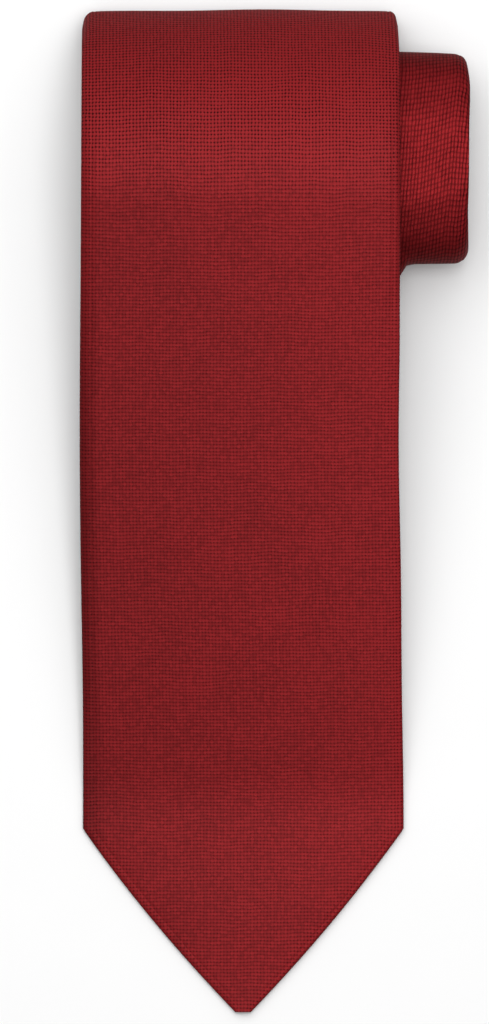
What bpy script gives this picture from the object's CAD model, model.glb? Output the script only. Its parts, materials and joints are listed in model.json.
"""Looks of the rolled silk necktie: ribbed silk, linings, stitches, labels, light and camera.

Every strip of the tie is swept along one fine route in the YZ plane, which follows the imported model:
tip, slope, crest, loose top fold, flattened roll, neck fold, and back again as the tail.
"""
import json
import math

import bpy
import numpy as np
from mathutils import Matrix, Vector


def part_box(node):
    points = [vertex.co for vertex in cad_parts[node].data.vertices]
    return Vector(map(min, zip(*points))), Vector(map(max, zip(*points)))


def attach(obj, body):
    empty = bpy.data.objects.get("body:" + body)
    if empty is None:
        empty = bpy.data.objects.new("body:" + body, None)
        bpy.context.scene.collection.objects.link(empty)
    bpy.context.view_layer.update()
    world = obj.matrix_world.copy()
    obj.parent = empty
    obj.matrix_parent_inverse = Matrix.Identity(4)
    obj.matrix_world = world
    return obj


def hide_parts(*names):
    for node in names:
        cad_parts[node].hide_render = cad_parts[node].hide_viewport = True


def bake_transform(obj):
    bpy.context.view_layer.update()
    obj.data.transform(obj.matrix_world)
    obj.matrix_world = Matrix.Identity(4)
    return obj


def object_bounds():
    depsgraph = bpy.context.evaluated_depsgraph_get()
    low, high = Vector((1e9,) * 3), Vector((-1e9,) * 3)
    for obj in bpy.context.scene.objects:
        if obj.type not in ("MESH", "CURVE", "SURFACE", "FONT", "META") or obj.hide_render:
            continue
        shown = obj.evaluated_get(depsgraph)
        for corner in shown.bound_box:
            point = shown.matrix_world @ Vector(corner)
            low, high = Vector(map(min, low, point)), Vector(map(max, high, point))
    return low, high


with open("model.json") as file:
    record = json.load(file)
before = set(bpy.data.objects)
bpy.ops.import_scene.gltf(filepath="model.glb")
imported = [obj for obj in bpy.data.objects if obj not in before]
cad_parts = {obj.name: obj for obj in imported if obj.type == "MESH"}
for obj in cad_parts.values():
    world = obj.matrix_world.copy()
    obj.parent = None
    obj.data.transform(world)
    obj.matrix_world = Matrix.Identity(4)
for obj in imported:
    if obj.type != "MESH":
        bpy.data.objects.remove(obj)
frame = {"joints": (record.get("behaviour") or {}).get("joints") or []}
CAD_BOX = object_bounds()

MM = 0.001
JOINTS = {joint["name"]: joint for joint in frame["joints"]}

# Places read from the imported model
TIP_Y = CAD_BOX[0].y
TOP_FOLD_Y = CAD_BOX[1].y
CREST_Z = CAD_BOX[1].z
LOOP_RIGHT_X = CAD_BOX[1].x
BLADE_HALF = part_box("point_panel")[1].x
CREST_Y = JOINTS["blade_lift"]["pos_m"][1]
CURL_Y = JOINTS["blade_curl"]["pos_m"][1]
TAIL_TIP_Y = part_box("tail_panel")[0].y
KEEPER_LOW, KEEPER_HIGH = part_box("keeper_loop")
KEEPER_MIDDLE_Y = (KEEPER_LOW.y + KEEPER_HIGH.y) / 2
LABEL_LOW, LABEL_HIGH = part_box("maker_label")

# Cloth thicknesses and gaps
SILK = 0.30 * MM
LAYER_GAP = 0.08 * MM
INTERLINING = 0.70 * MM
TIPPING = 0.25 * MM
STRIP = 2 * SILK + 2 * LAYER_GAP + INTERLINING
POINT_STRIP = STRIP + TIPPING + LAYER_GAP
WRAP_GAP = 0.16 * MM
PITCH = 2 * (STRIP + WRAP_GAP)
PAIR_GAP = 0.8 * MM
LOOSE_DEPTH = POINT_STRIP + PAIR_GAP + STRIP
WOUND_DEPTH = 2 * STRIP + WRAP_GAP

# Roll and slope
TURNS = 4
END_RADIUS = 14.7 * MM
CROWN_RADIUS = 49.7 * MM
ROLL_HALF_LENGTH = 29.35 * MM
TOP_BEND_RADIUS = 8.0 * MM
SLOPE = math.radians(12.6)
LEVELLING_RADIUS = 60.0 * MM
FLAT_Z = 2.3 * MM
CORE_X = 30.0 * MM
LAST_TURN_SHARE = 1 / 3

# Widths along the tie, from the tip
POINT_DEPTH = 51.5 * MM
TIP_HALF = 2.2 * MM
TOP_FOLD_FROM_TIP = 292.0 * MM
NECK_FROM_TIP = 645.0 * MM
NECK_HALF = 18.5 * MM
TAIL_HALF = 21.5 * MM
TAIL_POINT_DEPTH = 24.0 * MM
TAIL_TAPER = 500.0 * MM
DRIFT_START, DRIFT_END = 309.0 * MM, 368.0 * MM
HEM = 12.0 * MM
FLAP_HALF_GAP = 0.35 * MM
BAR_TACK_FROM_TIP = 94.0 * MM
TIPPING_LENGTH = 116.0 * MM
TAIL_BAR_TACK_FROM_TIP = 60.0 * MM
TAIL_TIPPING_LENGTH = 55.0 * MM
TAIL_HEM = 0.7 * HEM
POINT_BULGE = 0.16
BLADE_NARROWING = 0.8 * MM
LEAN, LEAN_END = -0.9 * MM, 190.0 * MM
SWAY, SWAY_LENGTH, SWAY_FULL = 0.25 * MM, 31.0 * MM, 120.0 * MM

# Where the tail's middle line lies: at its tip, the keeper loop, the crest, and twice past the crest
TAIL_MIDDLES = (-4.0 * MM, 5.0 * MM, 20.5 * MM, 21.2 * MM, CORE_X)
TAIL_PAST_CREST = (58.0 * MM, 130.0 * MM)

# Crowned face: how high it stands, and where that starts and ends on the blade and on the side loop
CROWN = 0.9 * MM
CROWN_FROM_TIP = (4.0 * MM, 30.0 * MM)
CROWN_PAST_CREST = (48.0 * MM, 66.0 * MM)
LOOP_START = (45.0 * MM, 60.0 * MM)
LOOP_END = (20.0 * MM, 40.0 * MM)
TIPPING_FADE = (2.0 * MM, 20.0 * MM)

# Where one strip's pieces meet: both sides ride on the same body there
MIDDLE_Y = -66.0 * MM
TAIL_MIDDLE_Y = -25.0 * MM
UNDER_Y = 12.0 * MM

# Bends of cloth over the joints: two bodies, and the places where one hands over to the other
CREST_BEND = ("roll", "blade", (0.0, 5.0 * MM, CREST_Z), (0.0, -19.0 * MM, CREST_Z))
CURL_BEND = ("blade", "point", (0.0, CURL_Y + 7.5 * MM, 0.0), (0.0, CURL_Y - 8.5 * MM, 0.0))
SLIP_BEND = ("blade", "tail", (0.0, -28.0 * MM, 0.0), (0.0, -52.0 * MM, 0.0))

# Soft edges: how far each side rolls over, and the line pressed into the face beside it
LEFT_ROLL, RIGHT_ROLL = 2.3 * MM, 1.35 * MM
PRESS_PLACES = np.array([2.4, 1.8, 1.2, 0.8, 0.5, 0.3, 0.1]) * MM
PRESS_DEPTHS = np.array([0.0, 0.01, 0.03, 0.10, 0.13, 0.06, 0.0]) * MM
PRESS_FULL_HALF = 6.0 * MM
CROWN_POWER = 2.6
WORN_EDGE = 6.0 * MM

# Corners and edges of the folded tie
ROLL_CORNER = 4.2 * MM
TOP_CORNER = 3.4 * MM
RIGHT_INSET = 1.6 * MM
ROLL_TOP = (28.5 * MM, 33.0 * MM)
TOP_EDGE = (29.6 * MM, 41.0 * MM)
LOOP_SIDE = (46.0 * MM, 47.0 * MM)
TOP_WAVE, TOP_WAVE_LENGTHS = 0.22 * MM, (9.5 * MM, 23.0 * MM)
WEB_REACH = 6.0 * MM
WEB_INNER, WEB_OUTER = (28.0 * MM, 40.0 * MM), (46.6 * MM, 41.5 * MM)
WEB_FRONT, WEB_END, WEB_TOP = (-15.0 * MM, -29.0 * MM), -31.0 * MM, (20.0 * MM, 26.0 * MM)
LEFT_DROOP, LEFT_DROOP_FROM, LEFT_DROOP_OVER = 1.25 * MM, 40.4 * MM, 4.6 * MM
RIGHT_DROOP, RIGHT_DROOP_FROM, RIGHT_DROOP_OVER = 1.2 * MM, 40.0 * MM, 4.2 * MM
LEFT_DROOP_ABOVE, RIGHT_DROOP_ABOVE = (3.0 * MM, 10.0 * MM), (31.5 * MM, 34.0 * MM)
LOOP_SWAY, LOOP_SWAY_LENGTH, LOOP_SWAY_FROM = 0.35 * MM, 11.0 * MM, 30.0 * MM

# Stitches
SLIP_SPACING, ROLL_SLIP_SPACING = 6.3 * MM, 12.7 * MM
SEAM_HALF_GAP, SEAM_HALF_THREAD = 0.10 * MM, 0.07 * MM
HEM_SPACING = 3.1 * MM
TACK_ROW = 0.27 * MM
SLIP_THREAD, TACK_THREAD, FINE_THREAD = 0.13 * MM, 0.14 * MM, 0.12 * MM
STITCH_POINTS = 7

# Weave pitch; the rows open a little before the crest and more on the side loop
COLUMN_PITCH = 0.94 * MM
ROW_PITCH = 1.0 * MM
CREST_ROW_PITCH = 1.07 * MM
LOOP_ROW_PITCH = 1.5 * MM
CREST_ROWS = (-35.0 * MM, -18.0 * MM)

# Weave, in columns and rows: how both waver, how the loop's rows rise, and where it is taut or pressed
ROW_WAVER, ROW_SHAKE, COLUMN_WAVER = 1.5, 0.26, 0.5
LOOP_RISE, LOOP_RISE_FROM, LOOP_RISE_COLUMNS = 2.4, 12.0, 20.0
TAUT_FROM, TAUT_ROWS = 228.0, 24.0
PRESSED_FROM, PRESSED_COLUMNS, PRESSED_ROWS = 41.0, 5.0, 60.0

# Weave, as shares of its height or its light
BAR_RELIEF, COLUMN_SHADOW = 0.22, 0.62
DASH_COLUMN_RELIEF, DASH_ROW_RELIEF = 0.85, 0.55
TAUT_GAPS, TAUT_CONTRAST, TAUT_SHINE = -0.20, 0.6, 0.19
EDGE_CONTRAST, EDGE_WEAR = 0.5, 0.18
LOOP_SHINE, PRESSED_SHADE, SIDE_DEEPENING = 0.16, -0.32, -0.0020
SILK_BUMP = 0.11 * MM

# Colours, each from its darkest to its lightest
SILK_COLOURS = (0.020, 0.0002, 0.0006), (0.286, 0.0138, 0.0170)
LINING_COLOURS = (0.045, 0.002, 0.004), (0.26, 0.016, 0.024)
WOOL_COLOURS = (0.040, 0.004, 0.007), (0.150, 0.014, 0.020)
THREAD_COLOURS = (0.075, 0.004, 0.007), (0.36, 0.03, 0.04)
LABEL_COLOURS = (0.006, 0.006, 0.008), (0.045, 0.042, 0.048)
CARE_COLOURS = (0.45, 0.45, 0.43), (0.86, 0.86, 0.83)
FLOOR_COLOURS = (0.93, 0.93, 0.93), (0.95, 0.95, 0.95)
FLOOR_BOUNCE = (0.28, 0.27, 0.27)

# Light and camera
SKY_LOW, SKY_HIGH, SKY_LEAN, SKY_LEAST = 0.15, 0.88, 0.20, 0.05
KEY_PLACE, KEY_AIM, KEY_SIZE, KEY_POWER = (-0.20, 0.48, 1.0), (0.0, -0.08, 0.0), 1.15, 4.7
SHEEN_PLACE, SHEEN_AIM, SHEEN_SIZE, SHEEN_POWER = (0.12, 0.02, 1.05), (0.0, -0.01, 0.0), 0.45, 3.2
FLOOR_REACH = 4.0
VIEW_HEIGHT = 286.2 * MM
VIEW_CENTRE = (0.4 * MM, -98.9 * MM)
LENS, SENSOR = 400.0, 36.0


def smooth(low, high, value):
    """0 below low, 1 above high and an even curve between them; low may be the larger."""
    share = np.clip((np.asarray(value, float) - low) / (high - low), 0.0, 1.0)
    return share * share * (3 - 2 * share)


# ---- the route

class Route:
    """Stations along a strip: face points and back directions in YZ, and the strip's shape there."""

    FIELDS = ("face", "back", "s", "x", "half", "thick", "opening", "crown", "row", "loop")

    def __init__(self, face, back):
        self.face = np.array(face, float)
        self.back = np.array(back, float)
        step = np.linalg.norm(np.diff(self.face, axis=0), axis=1)
        count = len(self.face)
        self.s = np.concatenate([[0.0], np.cumsum(step)])
        self.x = np.zeros(count)
        self.half = np.full(count, NECK_HALF)
        self.thick = np.full(count, STRIP)
        self.opening = np.full(count, FLAP_HALF_GAP)
        self.crown = np.zeros(count)
        self.row = np.zeros(count)
        self.loop = np.zeros(count)

    def part(self, low, high):
        """The route from distance low to distance high, with a station exactly at each end."""
        inside = self.s[(self.s > low + 0.2 * MM) & (self.s < high - 0.2 * MM)]
        places = np.concatenate([[low], inside, [high]])
        piece = Route.__new__(Route)
        for field in self.FIELDS:
            values = getattr(self, field)
            if values.ndim == 1:
                setattr(piece, field, np.interp(places, self.s, values))
            else:
                columns = [np.interp(places, self.s, values[:, i]) for i in range(2)]
                setattr(piece, field, np.stack(columns, axis=1))
        return piece

    def crossings(self, y):
        """Every distance at which the route passes y."""
        side = self.face[:, 0] - y
        first = np.nonzero(side[:-1] * side[1:] < 0)[0]
        share = side[first] / (side[first] - side[first + 1])
        return self.s[first] + share * (self.s[first + 1] - self.s[first])

    def at(self, u, depth):
        """World points for (station, line) arrays of sideways places and depths."""
        y = self.face[:, :1] + self.back[:, :1] * depth
        z = self.face[:, 1:] + self.back[:, 1:] * depth
        return warp(np.stack([self.x[:, None] + u, y, z], axis=-1))


def arc(centre, radius, start, end, inset=None, step=1.6 * MM):
    """Arc stations after the first one; angles run from +Z towards +Y, inset moves them inwards."""
    count = max(4, int(abs(end - start) * radius / step))
    share = np.arange(1, count + 1) / count
    angle = start + (end - start) * share
    reach = radius - (inset(share) if inset else 0.0)
    out = np.stack([np.sin(angle), np.cos(angle)], axis=1)
    return np.array(centre) + out * np.reshape(reach, (-1, 1)), -out


def straight(start, end, back, step=3.0 * MM):
    """Stations after the first one on a straight line."""
    start, end = np.array(start), np.array(end)
    count = max(2, int(np.linalg.norm(end - start) / step))
    share = (np.arange(1, count + 1) / count)[:, None]
    return start + (end - start) * share, np.tile(back, (count, 1))


def crest_arc():
    """Radius, centre height and end angle of the arc between the crest and the top bend."""
    reach = TOP_FOLD_Y - TOP_BEND_RADIUS - CREST_Y
    rise = CREST_Z - TOP_BEND_RADIUS
    radius = (reach ** 2 + rise ** 2 - TOP_BEND_RADIUS ** 2) / (2 * (rise - TOP_BEND_RADIUS))
    return radius, CREST_Z - radius, math.atan2(reach, radius - rise)


def step_inwards(share):
    """How far a turn has moved in along its last arc, to make room for the next one."""
    return PITCH * smooth(1 / 3, 1, share)


def blade_route():
    """From the tip up the slope, over the crest and the top fold, and inwards to the neck fold."""
    crest_radius, crest_centre, junction = crest_arc()
    slope_top = np.array([CREST_Y - crest_radius * math.sin(SLOPE),
                          crest_centre + crest_radius * math.cos(SLOPE)])
    drop = LEVELLING_RADIUS * (1 - math.cos(SLOPE))
    slope_low_y = slope_top[0] - (slope_top[1] - FLAT_Z - drop) / math.tan(SLOPE)
    slope_low = np.array([slope_low_y, FLAT_Z + drop])
    level_y = slope_low_y - LEVELLING_RADIUS * math.sin(SLOPE)
    slope_back = (math.sin(SLOPE), -math.cos(SLOPE))
    runs = [straight((TIP_Y, FLAT_Z), (level_y, FLAT_Z), (0.0, -1.0), 1.0 * MM)]
    bend = arc((level_y, FLAT_Z + LEVELLING_RADIUS), LEVELLING_RADIUS, math.pi, math.pi - SLOPE)
    runs.append((bend[0], -bend[1]))
    runs.append(straight(slope_low, slope_top, slope_back, 2.0 * MM))
    runs.append(arc((CREST_Y, crest_centre), crest_radius, -SLOPE, junction))
    bend_centre = (TOP_FOLD_Y - TOP_BEND_RADIUS, TOP_BEND_RADIUS)
    runs.append(arc(bend_centre, TOP_BEND_RADIUS, junction, math.pi, step=0.9 * MM))
    half = ROLL_HALF_LENGTH - END_RADIUS
    between = CROWN_RADIUS - END_RADIUS
    crown_z = END_RADIUS - math.sqrt(between ** 2 - half ** 2)
    crown = math.asin(half / between)
    start_y = bend_centre[0]
    for turn in range(TURNS):
        inner = turn * PITCH
        radius = END_RADIUS - inner
        last = turn == TURNS - 1
        runs.append(straight((start_y, inner), (-half, inner), (0.0, 1.0)))
        runs.append(arc((-half, END_RADIUS), radius, math.pi, 2 * math.pi - crown))
        runs.append(arc((0.0, crown_z), CROWN_RADIUS - inner, -crown, crown))
        finish = crown + (math.pi - crown) * (LAST_TURN_SHARE if last else 1.0)
        runs.append(arc((half, END_RADIUS), radius, crown, finish, None if last else step_inwards))
        start_y = half
    face = [np.array([[TIP_Y, FLAT_Z]])] + [run[0] for run in runs]
    back = [np.array([[0.0, -1.0]])] + [run[1] for run in runs]
    return np.concatenate(face), np.concatenate(back)


def neck_fold(face, back):
    """The half circle in which the strip turns back on itself."""
    steps = 10
    radius = STRIP + WRAP_GAP / 2
    centre = face + back * radius
    ahead = np.array([back[1], -back[0]])
    angle = (np.arange(1, steps) * math.pi / steps)[:, None]
    out = ahead * np.sin(angle) - back * np.cos(angle)
    return centre + out * radius, -out


def build_routes():
    """The blade half, including the neck fold, and the tail half, as one continued measure."""
    face, back = blade_route()
    fold_face, fold_back = neck_fold(face[-1], back[-1])
    plain = Route(face, back)
    crest_s = plain.crossings(CREST_Y + 0.01 * MM)[0]
    wound_s = plain.crossings(UNDER_Y)[1]
    depth = LOOSE_DEPTH + (WOUND_DEPTH - LOOSE_DEPTH) * smooth(crest_s, wound_s, plain.s)
    tail_face = (face + back * depth[:, None])[::-1]
    keep = np.ones(len(tail_face), bool)
    keep[len(face) // 2:] = tail_face[len(face) // 2:, 0] > TAIL_TIP_Y
    tail_face, tail_back = tail_face[keep], -back[::-1][keep]
    whole = Route(np.concatenate([face, fold_face, tail_face]),
                  np.concatenate([back, fold_back, tail_back]))
    return whole, len(face) + len(fold_face), crest_s


def pointed(distance, depth, half):
    """Half width at a distance from a pointed end whose sides bulge slightly."""
    share = np.clip(distance / depth, 0.0, 1.0)
    return TIP_HALF + (half - TIP_HALF) * (share + POINT_BULGE * share * (1 - share))


def flap_opening(distance, half, depth, widest, hem, tack):
    """Half the gap between the flaps: a hem inside the edge at the point, closed at the bar tack."""
    gap = np.interp(distance, [depth, tack], [widest - hem, FLAP_HALF_GAP])
    return np.where(distance < depth, np.maximum(FLAP_HALF_GAP, half - hem), gap)


def blade_shape(s):
    """Half width, sideways place and opening of the blade half at distances from its tip."""
    knots = [POINT_DEPTH, TOP_FOLD_FROM_TIP, NECK_FROM_TIP]
    wide = np.interp(s, knots, [BLADE_HALF, BLADE_HALF - BLADE_NARROWING, NECK_HALF])
    half = np.where(s < POINT_DEPTH, pointed(s, POINT_DEPTH, BLADE_HALF), wide)
    drift = smooth(DRIFT_START, DRIFT_END, s)
    lean = LEAN * smooth(POINT_DEPTH, LEAN_END, s)
    sway = SWAY * np.sin(s / SWAY_LENGTH) * smooth(POINT_DEPTH, SWAY_FULL, s)
    x = (lean + sway) * (1 - drift) + drift * np.minimum(CORE_X, LOOP_RIGHT_X - half)
    return half, x, flap_opening(s, half, POINT_DEPTH, BLADE_HALF, HEM, BAR_TACK_FROM_TIP)


def tail_shape(from_tip):
    """Half width, sideways place and opening of the tail half at distances from its own tip."""
    wide = np.interp(from_tip, [TAIL_POINT_DEPTH, TAIL_TAPER], [TAIL_HALF, NECK_HALF])
    half = np.where(from_tip < TAIL_POINT_DEPTH, pointed(from_tip, TAIL_POINT_DEPTH, TAIL_HALF), wide)
    crest = (CREST_Y - TAIL_TIP_Y) / math.cos(SLOPE)
    keeper = (KEEPER_MIDDLE_Y - TAIL_TIP_Y) / math.cos(SLOPE)
    places = [0.0, keeper, crest, crest + TAIL_PAST_CREST[0], crest + TAIL_PAST_CREST[1]]
    x = np.interp(from_tip, places, TAIL_MIDDLES)
    opening = flap_opening(from_tip, half, TAIL_POINT_DEPTH, TAIL_HALF, TAIL_HEM, TAIL_BAR_TACK_FROM_TIP)
    return half, x, opening


def shape_route(route, turn_index, crest_s):
    """Widths, sideways places, thicknesses and weave rows of every station."""
    s = route.s
    blade = np.arange(len(s)) < turn_index
    pairs = zip(blade_shape(s), tail_shape(s[-1] - s))
    route.half, route.x, route.opening = (np.where(blade, first, second) for first, second in pairs)
    thin = smooth(CURL_Y + TIPPING_FADE[0], CURL_Y + TIPPING_FADE[1], route.face[:, 0])
    free_blade = blade & (s < crest_s)
    route.thick = np.where(free_blade, POINT_STRIP + (STRIP - POINT_STRIP) * thin, STRIP)
    under, loop_end = route.crossings(UNDER_Y)[1:3]
    lift = smooth(*CROWN_FROM_TIP, s) * (1 - smooth(*CROWN_PAST_CREST, s - crest_s))
    loop = smooth(*LOOP_START, s - under) * (1 - smooth(*LOOP_END, s - loop_end))
    route.crown = CROWN * np.where(blade, lift + loop, 0.0)
    route.loop = np.where(blade, loop, 0.0)
    pitch = ROW_PITCH + (CREST_ROW_PITCH - ROW_PITCH) * smooth(*CREST_ROWS, s - crest_s)
    pitch = pitch + (LOOP_ROW_PITCH - pitch) * route.loop
    steps = np.diff(s) / ((pitch[1:] + pitch[:-1]) / 2)
    route.row = np.concatenate([[0.0], np.cumsum(steps)])


# ---- soft shape of the whole tie

def rounding(distance, radius):
    """How far a corner of this radius falls back, at a distance past where it begins."""
    reach = np.clip(distance, 0.0, radius)
    return radius - np.sqrt(np.maximum(radius ** 2 - reach ** 2, 0.0))


def warp(points):
    """Soft irregularities of the folded tie. It moves space, so that layers keep their order."""
    x, y, z = points[..., 0], points[..., 1], points[..., 2]
    moved = points.copy()
    in_roll = 1 - smooth(*ROLL_TOP, z)
    corner = rounding(x - (LOOP_RIGHT_X - ROLL_CORNER), ROLL_CORNER * 1.06)
    moved[..., 1] -= corner * in_roll * np.clip(y / ROLL_HALF_LENGTH, -1, 1)

    # The corners of the top fold, and its slightly wavy edge
    upper = smooth(*TOP_EDGE, y)
    left = rounding(-x - (BLADE_HALF - TOP_CORNER), TOP_CORNER * 1.1)
    right = rounding(x - (BLADE_HALF - RIGHT_INSET - TOP_CORNER * 0.8), TOP_CORNER * 0.9)
    beside = 1 - smooth(*LOOP_SIDE, x)
    moved[..., 1] -= (left + right * beside) * upper * (x < LOOP_SIDE[1])
    wave = np.sin(x / TOP_WAVE_LENGTHS[0] + 0.8) * np.cos(x / TOP_WAVE_LENGTHS[1])
    moved[..., 1] += TOP_WAVE * upper * wave

    # The web of cloth in the corner between the side loop and the blade
    web = smooth(*WEB_OUTER, x) * smooth(*WEB_INNER, x)
    web = web * smooth(*WEB_FRONT, y) * (y > WEB_END) * (1 - smooth(*WEB_TOP, z))
    moved[..., 1] -= WEB_REACH * web

    # The blade's long edges sink, and the side loop sways
    droop = np.clip((-x - LEFT_DROOP_FROM) / LEFT_DROOP_OVER, 0.0, 1.2) ** 2
    moved[..., 2] -= LEFT_DROOP * droop * smooth(*LEFT_DROOP_ABOVE, z)
    droop = np.clip((x - RIGHT_DROOP_FROM) / RIGHT_DROOP_OVER, 0.0, 1.15) ** 2
    moved[..., 2] -= RIGHT_DROOP * droop * smooth(*RIGHT_DROOP_ABOVE, z)
    sway = smooth(LOOP_SWAY_FROM, LOOP_RIGHT_X, x) * in_roll
    moved[..., 0] += LOOP_SWAY * sway * np.sin(y / LOOP_SWAY_LENGTH - 0.6)
    return moved


# ---- materials

class Shader:
    """Shorthand for building the nodes of one material, or of the sky."""

    def __init__(self, owner):
        self.owner = owner
        owner.use_nodes = True
        self.tree = owner.node_tree
        self.tree.nodes.clear()

    def node(self, kind, inputs=None, **settings):
        node = self.tree.nodes.new(kind)
        for key, value in settings.items():
            setattr(node, key, value)
        for key, value in (inputs or {}).items():
            if isinstance(value, bpy.types.NodeSocket):
                self.tree.links.new(value, node.inputs[key])
            else:
                node.inputs[key].default_value = value
        return node

    def math(self, operation, *values, clamp=False):
        inputs = dict(enumerate(values))
        return self.node("ShaderNodeMath", inputs, operation=operation, use_clamp=clamp).outputs[0]

    def times(self, first, second, clamp=False):
        return self.math("MULTIPLY", first, second, clamp=clamp)

    def plus(self, first, second):
        return self.math("ADD", first, second)

    def rest(self, value):
        """What is missing to 1."""
        return self.math("SUBTRACT", 1.0, value)

    def linear(self, value, slope, base, clamp=False):
        """value times slope, plus base."""
        return self.math("MULTIPLY_ADD", value, slope, base, clamp=clamp)

    def gain(self, value, amount):
        """1 where value is 0, and 1 plus amount where it is 1."""
        return self.linear(value, amount, 1.0)

    def relief(self, value, depth):
        """1 where value is 1, and lower by depth where it is 0."""
        return self.linear(value, depth, 1.0 - depth)

    def lerp(self, share, low, high):
        """low at share 0, high at share 1."""
        return self.linear(self.math("SUBTRACT", high, low), share, low)

    def ripple(self, value, count=1.0):
        """Half waves from 0 to 1 and back, this many for each unit of value."""
        return self.math("ABSOLUTE", self.math("SINE", self.times(value, count * math.pi)))

    def coordinates(self, layer):
        """One UV map of the piece, whole and as its two numbers."""
        whole = self.node("ShaderNodeUVMap", uv_map=layer).outputs["UV"]
        parts = self.node("ShaderNodeSeparateXYZ", {0: whole}).outputs
        return whole, parts[0], parts[1]

    def tint(self, share, low, high):
        """A colour between two; each end is a colour or another node's output."""
        mix = self.node("ShaderNodeMix", data_type="RGBA", blend_type="MIX")
        for key, value in ((0, share), (6, low), (7, high)):
            if isinstance(value, bpy.types.NodeSocket):
                self.tree.links.new(value, mix.inputs[key])
            else:
                mix.inputs[key].default_value = value if key == 0 else (*value, 1.0)
        return mix.outputs[2]

    def noise(self, vector, scale, detail=2.0, rough=0.5):
        inputs = {"Vector": vector, "Scale": scale, "Detail": detail, "Roughness": rough}
        return self.node("ShaderNodeTexNoise", inputs).outputs["Fac"]

    def bump(self, height, distance, strength):
        inputs = {"Height": height, "Distance": distance, "Strength": strength}
        return self.node("ShaderNodeBump", inputs).outputs["Normal"]

    def finish(self, **inputs):
        """Ends the material in a Principled BSDF with these inputs."""
        inputs = {key.replace("_", " "): value for key, value in inputs.items()}
        surface = self.node("ShaderNodeBsdfPrincipled", inputs).outputs["BSDF"]
        self.node("ShaderNodeOutputMaterial", {"Surface": surface})
        return self.owner


def silk_places(sh, weave, column_number, row_number, loop, slow):
    """Column and row numbers that waver a little; the loop's rows rise towards its outer edge."""
    quick = sh.noise(weave, 0.5, 1.0)
    drift = sh.linear(slow, ROW_WAVER, sh.times(quick, ROW_SHAKE))
    elsewhere = sh.node("ShaderNodeVectorMath", {0: weave, 1: (31.0, 17.0, 0.0)}).outputs[0]
    across = sh.linear(sh.noise(elsewhere, 0.6, 1.0), COLUMN_WAVER, column_number)
    outer = sh.linear(column_number, -1 / LOOP_RISE_COLUMNS, -LOOP_RISE_FROM / LOOP_RISE_COLUMNS, clamp=True)
    rise = sh.times(sh.times(outer, outer), sh.times(loop, -LOOP_RISE))
    return across, sh.plus(sh.plus(row_number, drift), rise)


def silk_pattern(sh, column, row, loop, taut):
    """The weave's height: weft bars on the flat, short dashes on the loop, open gaps where it is taut."""
    row_soft = sh.math("POWER", row, 1.15)
    hollow = sh.times(sh.rest(row_soft), sh.gain(sh.math("POWER", column, 0.8), -COLUMN_SHADOW))
    bars = sh.times(sh.rest(hollow), sh.relief(column, BAR_RELIEF))
    dashes = sh.times(sh.relief(column, DASH_COLUMN_RELIEF), sh.relief(row_soft, DASH_ROW_RELIEF))
    gaps = sh.times(sh.rest(column), sh.times(taut, TAUT_GAPS))
    return sh.plus(sh.lerp(loop, bars, dashes), gaps)


def silk_threads(sh, weave, across, along):
    """Uneven light from thread to thread: fibres along the weft and one value for each crossing."""
    stretch = {0: weave, 1: (1.0, 6.0, 1.0)}
    fibre = sh.noise(sh.node("ShaderNodeVectorMath", stretch, operation="MULTIPLY").outputs[0], 2.6, 2.0, 0.6)
    crossing = {0: sh.math("FLOOR", across), 1: sh.math("FLOOR", along)}
    crossing = {"Vector": sh.node("ShaderNodeCombineXYZ", crossing).outputs[0]}
    knot = sh.node("ShaderNodeTexWhiteNoise", crossing, noise_dimensions="2D").outputs["Value"]
    return sh.times(sh.linear(fibre, 0.5, 0.75), sh.linear(knot, 0.30, 0.86))


def silk_pressing(sh, column_number, row_number, taut):
    """Where the iron has flattened the cloth: the left edge on the slope, the right one on the crest."""
    share = 1 / PRESSED_COLUMNS
    left = sh.times(sh.math("SUBTRACT", column_number, PRESSED_FROM), share, clamp=True)
    right = sh.times(sh.linear(column_number, -1.0, -PRESSED_FROM), share, clamp=True)
    slope = sh.times(sh.math("SUBTRACT", TAUT_FROM, row_number), 1 / PRESSED_ROWS, clamp=True)
    return sh.linear(left, slope, sh.times(sh.times(right, taut), 0.5))


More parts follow.
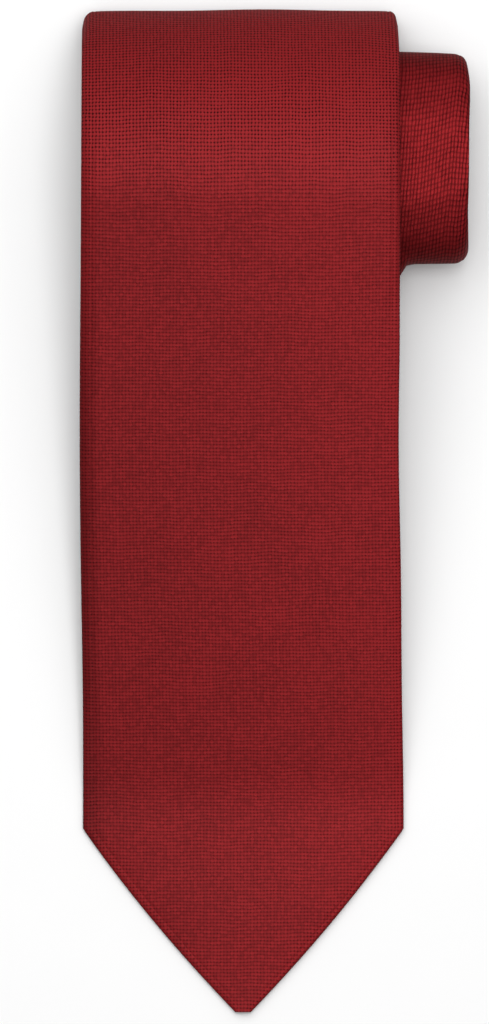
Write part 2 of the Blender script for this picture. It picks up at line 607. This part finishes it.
def silk_material():
    """Ribbed silk: rows of light weft bars over darker warp columns, with small gaps where they cross."""
    sh = Shader(bpy.data.materials.new("scene_silk"))
    weave, column_number, row_number = sh.coordinates("weave")
    loop, edge = sh.coordinates("zone")[1:]
    slow = sh.noise(weave, 0.06)
    across, along = silk_places(sh, weave, column_number, row_number, loop, slow)
    taut = sh.times(sh.math("SUBTRACT", row_number, TAUT_FROM), 1 / TAUT_ROWS, clamp=True)
    taut = sh.times(taut, sh.rest(loop))
    pattern = silk_pattern(sh, sh.ripple(across), sh.ripple(along), loop, taut)
    patch = sh.noise(weave, 0.33, 3.0, 0.65)
    contrast = sh.linear(patch, 1.5, 0.05, clamp=True)
    contrast = sh.times(sh.times(contrast, sh.gain(taut, TAUT_CONTRAST)), sh.gain(edge, EDGE_CONTRAST))
    height = sh.times(sh.lerp(contrast, 0.6, pattern), silk_threads(sh, weave, across, along))
    shade = sh.times(height, sh.linear(slow, 0.3, 0.87))
    worn = sh.times(sh.math("POWER", edge, 4.0), sh.linear(patch, 0.5, 0.1), clamp=True)
    shade = sh.linear(worn, EDGE_WEAR, shade, clamp=True)
    shade = sh.times(sh.times(shade, sh.gain(loop, LOOP_SHINE)), sh.gain(taut, TAUT_SHINE))
    pressed = silk_pressing(sh, column_number, row_number, taut)
    shade = sh.times(shade, sh.gain(pressed, PRESSED_SHADE))
    shade = sh.times(shade, sh.linear(column_number, SIDE_DEEPENING, 0.99))
    return sh.finish(Base_Color=sh.tint(shade, *SILK_COLOURS), Roughness=sh.linear(height, -0.12, 0.62),
                     Metallic=sh.linear(loop, 0.40, 0.28), Normal=sh.bump(height, SILK_BUMP, 0.8),
                     Specular_IOR_Level=0.12, Sheen_Weight=0.05, Sheen_Roughness=0.4,
                     Sheen_Tint=(1.0, 0.3, 0.3, 1.0))


def lining_material():
    """Smooth satin tipping with fine diagonal twill lines."""
    sh = Shader(bpy.data.materials.new("scene_lining"))
    weave, column_number, row_number = sh.coordinates("weave")
    diagonal = sh.plus(sh.times(column_number, 3.0), sh.times(row_number, 3.0))
    line = sh.ripple(sh.plus(diagonal, sh.noise(weave, 0.5)))
    patch = sh.noise(weave, 0.2, 3.0)
    shade = sh.times(sh.relief(line, 0.35), sh.linear(patch, 0.5, 0.7))
    return sh.finish(Base_Color=sh.tint(shade, *LINING_COLOURS), Roughness=0.34,
                     Normal=sh.bump(line, 0.03 * MM, 0.6), Specular_IOR_Level=0.6, Anisotropic=0.4,
                     Sheen_Weight=0.1)


def wool_material():
    """Brushed wool interlining, dark because slivers of it come through the silk at sharp bends."""
    sh = Shader(bpy.data.materials.new("scene_interlining"))
    place = sh.node("ShaderNodeTexCoord").outputs["Object"]
    fuzz = sh.noise(place, 2600.0, 6.0, 0.75)
    cloud = sh.noise(place, 260.0, 3.0)
    shade = sh.times(sh.linear(fuzz, 0.6, 0.6), sh.linear(cloud, 0.4, 0.7), clamp=True)
    return sh.finish(Base_Color=sh.tint(shade, *WOOL_COLOURS), Roughness=0.95,
                     Normal=sh.bump(fuzz, 0.15 * MM, 0.8), Specular_IOR_Level=0.15, Sheen_Weight=0.4)


def thread_material():
    """Two-ply twisted silk thread."""
    sh = Shader(bpy.data.materials.new("scene_thread"))
    weave, around, along = sh.coordinates("weave")
    turn = sh.times(sh.plus(around, along), 2 * math.pi)
    ply = sh.linear(sh.math("SINE", turn), 0.5, 0.5)
    fibre = sh.noise(weave, 9.0, 2.0)
    shade = sh.times(ply, sh.linear(fibre, 0.6, 0.6), clamp=True)
    return sh.finish(Base_Color=sh.tint(shade, *THREAD_COLOURS), Roughness=0.45,
                     Normal=sh.bump(ply, 0.04 * MM, 0.7), Specular_IOR_Level=0.5, Sheen_Weight=0.2)


def label_material(name, colours, rough):
    """A fine woven tape."""
    sh = Shader(bpy.data.materials.new(name))
    weave, column_number, row_number = sh.coordinates("weave")
    grain = sh.linear(sh.ripple(column_number, 3), 0.4, sh.times(sh.ripple(row_number, 4), 0.6))
    patch = sh.noise(weave, 0.4, 3.0)
    shade = sh.times(grain, sh.linear(patch, 0.7, 0.55), clamp=True)
    return sh.finish(Base_Color=sh.tint(shade, *colours), Roughness=rough,
                     Normal=sh.bump(grain, 0.04 * MM, 0.7), Specular_IOR_Level=0.45, Sheen_Weight=0.1)


def floor_material():
    """Pale matt floor; it is darker for light that bounces off it than for the camera."""
    sh = Shader(bpy.data.materials.new("scene_floor"))
    place = sh.node("ShaderNodeTexCoord").outputs["Object"]
    colour = sh.tint(sh.noise(place, 30.0, 2.0), *FLOOR_COLOURS)
    seen = sh.node("ShaderNodeLightPath").outputs["Is Camera Ray"]
    return sh.finish(Base_Color=sh.tint(seen, FLOOR_BOUNCE, colour), Roughness=0.9, Specular_IOR_Level=0.1)


# ---- meshes

def make_object(name, vertices, faces, weave, zone, material):
    """A mesh object with its weave coordinates and zones (side loop, worn edge) in two UV maps."""
    mesh = bpy.data.meshes.new(name)
    mesh.from_pydata(vertices.tolist(), [], faces)
    corners = np.empty(len(mesh.loops), np.int32)
    mesh.loops.foreach_get("vertex_index", corners)
    for key, values in (("weave", weave), ("zone", zone)):
        layer = mesh.uv_layers.new(name=key)
        layer.data.foreach_set("uv", np.ascontiguousarray(values[corners], np.float32).ravel())
    mesh.materials.append(material)
    mesh.validate()
    mesh.shade_smooth()
    mesh.set_sharp_from_angle(angle=math.radians(50))
    piece = bpy.data.objects.new(name, mesh)
    bpy.context.scene.collection.objects.link(piece)
    return piece


def sweep(name, piece, outer, inner, material):
    """A closed cloth solid; outer and inner are (sideways, depth) arrays of stations by lines."""
    stations, lines = outer[0].shape
    u = np.concatenate([outer[0], inner[0][:, ::-1]], axis=1)
    depth = np.concatenate([outer[1], inner[1][:, ::-1]], axis=1)
    points = piece.at(u, depth)
    count = 2 * lines
    step = np.hypot(np.diff(outer[0], axis=1), np.diff(outer[1], axis=1))
    around = np.concatenate([np.zeros((stations, 1)), np.cumsum(step, axis=1)], axis=1)
    around = around - around[:, lines // 2][:, None]
    columns = np.concatenate([around, around[:, ::-1]], axis=1) / COLUMN_PITCH
    weave = np.stack([columns, np.repeat(piece.row[:, None], count, axis=1)], axis=-1)
    worn = smooth(0.0, WORN_EDGE, np.abs(u) - (piece.half[:, None] - WORN_EDGE))
    zone = np.stack([np.repeat(piece.loop[:, None], count, axis=1), worn], axis=-1)
    ring = np.arange(count)
    base = (np.arange(stations - 1) * count)[:, None]
    ahead = (ring + 1) % count
    quads = np.stack([base + ring, base + ahead, base + count + ahead, base + count + ring], axis=-1)
    faces = quads.reshape(-1, 4).tolist()
    last = (stations - 1) * count
    for j in range(lines - 1):
        near, far = (j, j + 1), (count - 1 - j, count - 2 - j)
        faces.append((near[0], far[0], far[1], near[1]))
        faces.append((last + near[0], last + near[1], last + far[1], last + far[0]))
    return make_object(name, points.reshape(-1, 3), faces, weave.reshape(-1, 2), zone.reshape(-1, 2),
                       material)


def silk_strip(name, piece, material):
    """The folded silk: face, soft edges with a pressed line beside them, and the two flaps behind."""
    half, thick = piece.half[:, None], piece.thick[:, None]
    shares = np.linspace(0.0, 1.0, 16)[:-1]
    angles = np.linspace(0.0, math.pi, 11)
    flap_shares = np.linspace(1.0, 0.0, 8)[1:]

    def side_line(roll_width, inset):
        """Half a section, from the middle of the face round the edge to the flap's free edge."""
        bend = np.minimum(roll_width, half * 0.5)
        flat = half - bend
        scale = np.minimum(1.0, flat / PRESS_FULL_HALF)
        press_u = flat - PRESS_PLACES * scale
        face_u = np.concatenate([(flat - PRESS_PLACES[0] * scale) * shares, press_u], axis=1)
        face_depth = inset - piece.crown[:, None] * (1 - (face_u / flat) ** CROWN_POWER)
        face_depth[:, len(shares):] += PRESS_DEPTHS * scale
        reach = bend - inset * np.minimum(1.0, bend / MM)
        turn_u = flat + reach * np.sin(angles)
        turn_depth = thick / 2 - (thick / 2 - inset) * np.cos(angles)
        gap = np.minimum(piece.opening[:, None], flat * 0.98)
        flap_u = gap + (flat - gap) * flap_shares
        flap_depth = np.broadcast_to(thick - inset, flap_u.shape)
        return (np.concatenate([face_u, turn_u, flap_u], axis=1),
                np.concatenate([face_depth, turn_depth, flap_depth], axis=1))

    def line(inset):
        """A whole section, from the right flap's free edge over the face to the left one's."""
        right_u, right_depth = side_line(RIGHT_ROLL, inset)
        left_u, left_depth = side_line(LEFT_ROLL, inset)
        return (np.concatenate([right_u[:, ::-1], -left_u[:, 1:]], axis=1),
                np.concatenate([right_depth[:, ::-1], left_depth[:, 1:]], axis=1))

    return sweep(name, piece, line(0.0), line(SILK), material)


def slab(name, piece, side, near, thickness, material, columns=20):
    """A flat layer of cloth; side and near are numbers or one value per station."""
    side = np.broadcast_to(side, piece.s.shape)[:, None]
    near = np.broadcast_to(near, piece.s.shape)[:, None]
    u = side * np.linspace(1.0, -1.0, columns + 1)
    low = np.broadcast_to(near, u.shape)
    return sweep(name, piece, (u, low), (u, low + thickness), material)


def tubes(name, paths, radius, material):
    """Many threads in one mesh; each path is an array of world points."""
    sides = 7
    vertices, faces, weave = [], [], []
    for path in paths:
        base = len(vertices)
        tangent = np.gradient(path, axis=0)
        tangent /= np.linalg.norm(tangent, axis=1)[:, None]
        guide = np.array([0.31, 0.2, 0.93])
        first = np.cross(tangent, guide)
        first /= np.linalg.norm(first, axis=1)[:, None]
        second = np.cross(tangent, first)
        travelled = np.concatenate([[0.0], np.cumsum(np.linalg.norm(np.diff(path, axis=0), axis=1))])
        taper = np.ones(len(path))
        taper[[0, -1]] = 0.55
        for k in range(len(path)):
            for i in range(sides):
                angle = 2 * math.pi * i / sides
                out = first[k] * math.cos(angle) + second[k] * math.sin(angle)
                vertices.append(path[k] + out * radius * taper[k])
                weave.append((i / sides, travelled[k] / (4 * radius)))
        for k in range(len(path) - 1):
            for i in range(sides):
                j = (i + 1) % sides
                low, high = base + k * sides, base + (k + 1) * sides
                faces.append((low + i, low + j, high + j, high + i))
        end = base + (len(path) - 1) * sides
        faces.append(tuple(base + i for i in reversed(range(sides))))
        faces.append(tuple(end + i for i in range(sides)))
    weave = np.array(weave)
    return make_object(name, np.array(vertices), faces, weave, np.zeros_like(weave), material)


def route_path(route, places, u, depth):
    """World points at distances along the route; u and depth are numbers or one value per place."""
    u, depth = np.broadcast_to(u, places.shape), np.broadcast_to(depth, places.shape)
    face = np.stack([np.interp(places, route.s, route.face[:, i]) for i in range(2)], axis=1)
    back = np.stack([np.interp(places, route.s, route.back[:, i]) for i in range(2)], axis=1)
    x = np.interp(places, route.s, route.x) + u
    place = face + back * depth[:, None]
    return warp(np.column_stack([x, place[:, 0], place[:, 1]]))


# ---- pieces of the tie

def wool(name, piece, material):
    """The interlining inside a strip."""
    side = np.maximum(piece.half - piece.thick / 2 - 2.3 * MM, 0.3 * MM)
    return slab(name, piece, side, SILK + LAYER_GAP, INTERLINING, material)


def slip_stitches(name, route, low, high, spacing, material):
    """Short slanted stitches that catch both flaps, joined by the thread between the flaps."""
    paths = []
    share = np.linspace(0.0, 1.0, STITCH_POINTS)
    margin, length, width, sunk, rise = 1.5 * MM, 1.7 * MM, 1.9 * MM, 0.16 * MM, 0.30 * MM
    count = max(1, int((high - low - 2 * margin) / spacing))
    for k in range(count):
        start = low + margin + k * spacing
        thick = float(np.interp(start, route.s, route.thick))
        u = (share - 0.5) * width * (1 if k % 2 else -1)
        depth = thick - sunk + rise * np.sin(share * math.pi) ** 0.6
        paths.append(route_path(route, start + share * length, u, depth))
    run = np.arange(low + 0.5 * MM, high - 0.5 * MM, 1.2 * MM)
    thick = np.interp(run, route.s, route.thick)
    wander = 0.08 * MM * np.sin(run / (2.3 * MM))
    paths.append(route_path(route, run, wander, thick - sunk - 0.01 * MM))
    return tubes(name, paths, SLIP_THREAD, material)


def bar_tack(name, route, place, half, thick, rows, material):
    """Threads laid side by side across the flaps where the opening ends, and two that bind them."""
    paths = []
    share = np.linspace(-1.0, 1.0, 13)
    for k in range(rows):
        u = share * (half - 0.15 * MM * (k % 2))
        depth = thick + 0.02 * MM + 0.22 * MM * (1 - share ** 6)
        places = place + k * TACK_ROW + 0.05 * MM * np.sin(share * 2 + k)
        paths.append(route_path(route, places, u, depth))
    share = np.linspace(0.0, 1.0, STITCH_POINTS)
    for side in (-0.45, 0.45):
        places = place - 0.3 * MM + share * (rows * TACK_ROW + 0.3 * MM)
        depth = thick + 0.10 * MM + 0.36 * MM * np.sin(share * math.pi) ** 0.5
        paths.append(route_path(route, places, side * half, depth))
    return tubes(name, paths, TACK_THREAD, material)


def hem_stitches(name, route, low, high, side, material):
    """Small slanted stitches from the silk hem into the lining."""
    paths = []
    share = np.linspace(0.0, 1.0, STITCH_POINTS)
    for k, start in enumerate(np.arange(low, high, HEM_SPACING)):
        opening = float(np.interp(start, route.s, route.opening))
        thick = float(np.interp(start, route.s, route.thick))
        u = side * (opening + 0.75 * MM - share * 1.25 * MM)
        depth = thick + 0.09 * MM * np.sin(share * math.pi) - 0.30 * MM * smooth(0.45, 1.0, share)
        depth = depth + 0.10 * MM * (1 - smooth(0.0, 0.3, share)) - 0.12 * MM * (share == 0)
        paths.append(route_path(route, start + share * (0.9 + 0.2 * math.sin(k * 2.1)) * MM, u, depth))
    return tubes(name, paths, FINE_THREAD, material)


def running_stitches(name, route, low, high, u, depth, length, gap, material):
    """A row of short stitches along the tie."""
    paths = []
    share = np.linspace(0.0, 1.0, STITCH_POINTS)
    sunk, rise, wobble = 0.10 * MM, 0.17 * MM, 0.12 * MM
    arch = depth - sunk + rise * np.sin(share * math.pi) ** 0.6
    for k, start in enumerate(np.arange(low, high - length, length + gap)):
        paths.append(route_path(route, start + share * length, u + wobble * math.sin(k * 1.7), arch))
    return tubes(name, paths, FINE_THREAD, material)


def keeper_band(route, middle, material):
    """The narrow loop of the same silk, bridging over the tail and sewn down at both ends."""
    length = (KEEPER_HIGH.y - KEEPER_LOW.y) / math.cos(SLOPE)
    piece = route.part(middle - length / 2, middle + length / 2)
    reach = (KEEPER_HIGH.x - KEEPER_LOW.x) / 2 - 0.4 * MM
    piece.half = np.full(len(piece.s), reach)
    piece.loop = np.zeros(len(piece.s))
    centre = (KEEPER_HIGH.x + KEEPER_LOW.x) / 2 - piece.x[:, None]
    share = np.linspace(1.0, -1.0, 61)
    foot, bridge = STRIP + 0.05 * MM, LOOSE_DEPTH + WRAP_GAP
    rise = 1 - smooth(0.82, 0.965, np.abs(share))
    travel = (piece.s - piece.s[0]) / (piece.s[-1] - piece.s[0]) * 2 - 1
    body = np.sqrt(np.maximum(0.0, 1 - travel ** 6))[:, None]
    tilt, tuck, edge, fullness = 0.12 * MM, 0.16 * MM, 0.10 * MM, 0.52 * MM
    lean = tilt * np.sin(travel * 2.2)[:, None] * rise
    near = foot + (bridge - foot) * rise + lean + tuck * (1 - body)
    swell = edge + fullness * body
    u = reach * share + centre
    return sweep("scene_keeper_loop", piece, (u, near), (u, near + swell), material)


def label_patch(name, route, low, high, half, material, columns=24):
    """A woven label lying on the strip, with its two ends turned under."""
    piece = route.part(low, high)
    piece.half = np.full(len(piece.s), half + 4 * MM)
    piece.loop = np.zeros(len(piece.s))
    share = np.linspace(1.0, -1.0, columns + 1)
    travel = (piece.s - low) / (high - low)
    bed, tape, waviness, fold = 0.05 * MM, 0.20 * MM, 0.07 * MM, 0.10 * MM
    ripple = waviness * np.sin(share * 9.0 + 0.6) * np.sin(travel * math.pi)[:, None]
    near = np.full(ripple.shape, STRIP + bed)
    ends = fold * smooth(0.90, 0.95, np.abs(share))
    u = np.broadcast_to(half * share, ripple.shape)
    return sweep(name, piece, (u, near), (u, near + tape + np.abs(ripple) + ends), material)


def stand_in(piece, place, node):
    """Lets a piece stand for a CAD node; place is the body it rides on, or one of the bends."""
    if isinstance(place, str):
        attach(piece, place)
    else:
        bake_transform(piece)
    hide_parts(node)


def build_strips(route, fold_s, silk, thread):
    """Every strip of silk and wool, its slip stitches and the two joining seams, from tip to tip."""
    length = route.s[-1]
    middle = route.crossings(MIDDLE_Y)[0]
    under = route.crossings(UNDER_Y)[1]
    seam = route.crossings(0.0)[5]
    tail_seam = route.crossings(0.0)[-6]
    tail_under = route.crossings(UNDER_Y)[-2]
    tail_middle = route.crossings(TAIL_MIDDLE_Y)[-1]
    silks = [
        ("point", 0.0, middle, CURL_BEND, "point_panel"),
        ("blade", middle, under, CREST_BEND, "blade_panel"),
        ("roll", under, seam - SEAM_HALF_GAP, "roll", "blade_panel_roll"),
        ("neck", seam + SEAM_HALF_GAP, tail_seam - SEAM_HALF_GAP, "roll", "neck_panel"),
        ("tail_roll", tail_seam + SEAM_HALF_GAP, tail_under, "roll", "tail_panel_roll"),
        ("tail_over", tail_under, tail_middle, CREST_BEND, "tail_panel_roll"),
        ("tail", tail_middle, length, SLIP_BEND, "tail_panel"),
    ]
    for name, low, high, place, node in silks:
        stand_in(silk_strip("scene_silk_" + name, route.part(low, high), silk), place, node)
    felt = wool_material()
    wools = [
        ("point", 9 * MM, middle, CURL_BEND, "point_interlining"),
        ("blade", middle, under, CREST_BEND, "blade_interlining"),
        ("roll", under, fold_s, "roll", "blade_interlining_roll"),
        ("tail_roll", fold_s, tail_under, "roll", "tail_interlining_roll"),
        ("tail_over", tail_under, tail_middle, CREST_BEND, "tail_interlining_roll"),
        ("tail", tail_middle, length - TAIL_TIPPING_LENGTH - MM, SLIP_BEND, "tail_interlining"),
    ]
    for name, low, high, place, node in wools:
        stand_in(wool("scene_wool_" + name, route.part(low, high), felt), place, node)
    tail_tack = length - TAIL_BAR_TACK_FROM_TIP
    rows = [
        ("point", BAR_TACK_FROM_TIP + 3 * MM, middle, SLIP_SPACING, CURL_BEND, "point_slip_stitch"),
        ("blade", middle, under, SLIP_SPACING, CREST_BEND, "blade_slip_stitch"),
        ("roll", under, fold_s - 4 * MM, ROLL_SLIP_SPACING, "roll", "roll_slip_stitch"),
        ("tail_roll", fold_s + 8 * MM, tail_under, ROLL_SLIP_SPACING, "roll", "tail_roll_slip_stitch"),
        ("tail_over", tail_under, tail_middle, SLIP_SPACING, CREST_BEND, "tail_roll_slip_stitch"),
        ("tail", tail_middle, tail_tack - 3 * MM, SLIP_SPACING, SLIP_BEND, "tail_slip_stitch"),
    ]
    for name, low, high, spacing, place, node in rows:
        stand_in(slip_stitches("scene_slip_" + name, route, low, high, spacing, thread), place, node)
    for name, place, node in (("blade", seam, "blade_neck_seam"), ("tail", tail_seam, "neck_tail_seam")):
        row = route.part(place - SEAM_HALF_THREAD, place + SEAM_HALF_THREAD)
        side = row.half - 0.4 * MM
        piece = slab("scene_seam_" + name, row, side, 0.05 * MM, 0.25 * MM, thread)
        stand_in(piece, "roll", node)


def build_linings(route):
    """The satin tipping behind each point."""
    lining = lining_material()
    inside = SILK + 2 * LAYER_GAP + INTERLINING
    row = route.part(7 * MM, TIPPING_LENGTH)
    side = row.half - row.thick / 2 - 0.5 * MM
    ease = 0.05 * MM * np.sin(row.s / (4.1 * MM))
    piece = slab("scene_blade_tipping", row, side, inside + ease, TIPPING - 0.05 * MM, lining, 40)
    stand_in(piece, CURL_BEND, "blade_tipping")
    row = route.part(route.s[-1] - TAIL_TIPPING_LENGTH, route.s[-1] - 6 * MM)
    side = row.half - row.thick / 2 - 0.5 * MM
    near = SILK + LAYER_GAP + INTERLINING - TIPPING
    piece = slab("scene_tail_tipping", row, side, near, TIPPING, lining, 30)
    stand_in(piece, "tail", "tail_tipping")


def build_tacks(route, thread):
    """The bar tacks and the hem stitches, and the place of the tail's tack."""
    piece = bar_tack("scene_blade_bar_tack", route, BAR_TACK_FROM_TIP, 4 * MM, POINT_STRIP, 9, thread)
    stand_in(piece, "point", "blade_bar_tack")
    for name, side in (("left", -1), ("right", 1)):
        low, high = 1.4 * HEM, BAR_TACK_FROM_TIP - 4 * MM
        piece = hem_stitches("scene_hem_stitch_" + name, route, low, high, side, thread)
        stand_in(piece, "point", "hem_stitch_" + name)
    tack = route.s[-1] - TAIL_BAR_TACK_FROM_TIP
    piece = bar_tack("scene_tail_bar_tack", route, tack, 3.4 * MM, STRIP, 7, thread)
    stand_in(piece, "tail", "tail_bar_tack")
    return tack


def build_keeper(route, silk, thread):
    """The keeper loop, and the stitches that hold its two ends."""
    middle = route.crossings(KEEPER_MIDDLE_Y)[0]
    stand_in(keeper_band(route, middle, silk), "blade", "keeper_loop")
    for name, side in (("left", -1), ("right", 1)):
        low, high = middle - 6.5 * MM, middle + 6.5 * MM
        piece = running_stitches("scene_keeper_tack_" + name, route, low, high, side * 34.6 * MM,
                                 STRIP + 0.68 * MM, 1.3 * MM, 0.5 * MM, thread)
        stand_in(piece, "blade", "keeper_tack_" + name)


def build_labels(route, tack, thread):
    """Two blank labels: one sewn on the blade, and a small tape on the tail."""
    care = label_material("scene_care_tape", CARE_COLOURS, 0.55)
    piece = label_patch("scene_care_label", route, tack - 22 * MM, tack - 6 * MM, 10 * MM, care)
    stand_in(piece, "tail", "care_label")
    black = label_material("scene_label", LABEL_COLOURS, 0.4)
    low, high = route.crossings(LABEL_LOW.y)[0], route.crossings(LABEL_HIGH.y)[0]
    half = (LABEL_HIGH.x - LABEL_LOW.x) / 2
    piece = label_patch("scene_maker_label", route, low, high, half, black, 48)
    stand_in(piece, "blade", "maker_label")
    for name, side in (("left", -1), ("right", 1)):
        piece = running_stitches("scene_label_stitch_" + name, route, low + MM, high - MM, side * (half - MM),
                                 STRIP + 0.42 * MM, 1.1 * MM, 0.7 * MM, thread)
        stand_in(piece, "blade", "label_stitch_" + name)


# ---- floor, light and camera

def area_light(name, place, aim, size, power):
    """A round soft light that points at aim."""
    data = bpy.data.lights.new(name, "AREA")
    data.shape = "DISK"
    data.size = size
    data.energy = power
    lamp = bpy.data.objects.new(name, data)
    lamp.location = place
    lamp.rotation_mode = "QUATERNION"
    lamp.rotation_quaternion = (Vector(aim) - Vector(place)).to_track_quat("-Z", "Y")
    bpy.context.scene.collection.objects.link(lamp)
    return lamp


def studio_world():
    """A soft sky, brightest overhead, dimmer at the near horizon, and plain white to the camera."""
    sh = Shader(bpy.data.worlds.new("studio"))
    place = sh.node("ShaderNodeTexCoord").outputs["Generated"]
    axes = sh.node("ShaderNodeSeparateXYZ", {0: place}).outputs
    height = sh.math("MAXIMUM", axes[2], 0.0)
    overhead = sh.linear(sh.times(height, height), SKY_HIGH, SKY_LOW)
    sky = sh.math("MAXIMUM", sh.linear(axes[1], SKY_LEAN, overhead), SKY_LEAST)
    seen = sh.node("ShaderNodeLightPath").outputs["Is Camera Ray"]
    strength = sh.plus(sh.times(sh.rest(seen), sky), seen)
    light = sh.node("ShaderNodeBackground", {"Color": (1.0, 1.0, 1.0, 1.0), "Strength": strength}).outputs[0]
    sh.node("ShaderNodeOutputWorld", {"Surface": light})
    return sh.owner


def build_studio():
    """The floor, the sky, two soft lights and a camera that looks straight down."""
    scene = bpy.context.scene
    mesh = bpy.data.meshes.new("floor")
    corners = [(x * FLOOR_REACH, y * FLOOR_REACH, 0.0) for x, y in ((-1, -1), (1, -1), (1, 1), (-1, 1))]
    mesh.from_pydata(corners, [], [(0, 1, 2, 3)])
    mesh.materials.append(floor_material())
    floor = bpy.data.objects.new("floor", mesh)
    scene.collection.objects.link(floor)
    scene.world = studio_world()
    key = area_light("key", KEY_PLACE, KEY_AIM, KEY_SIZE, KEY_POWER)
    key.visible_glossy = False
    area_light("sheen", SHEEN_PLACE, SHEEN_AIM, SHEEN_SIZE, SHEEN_POWER)
    camera_data = bpy.data.cameras.new("camera")
    camera_data.lens = LENS
    camera_data.sensor_width = SENSOR
    camera_data.clip_end = 100.0
    camera = bpy.data.objects.new("camera", camera_data)
    distance = VIEW_HEIGHT * LENS / SENSOR
    camera.location = (*VIEW_CENTRE, distance + CREST_Z / 2)
    scene.collection.objects.link(camera)
    scene.camera = camera
    scene.view_settings.view_transform = "Standard"


def main():
    route, turn_index, crest_s = build_routes()
    shape_route(route, turn_index, crest_s)
    silk, thread = silk_material(), thread_material()
    build_strips(route, route.s[turn_index], silk, thread)
    build_linings(route)
    tack = build_tacks(route, thread)
    build_keeper(route, silk, thread)
    build_labels(route, tack, thread)
    build_studio()


main()
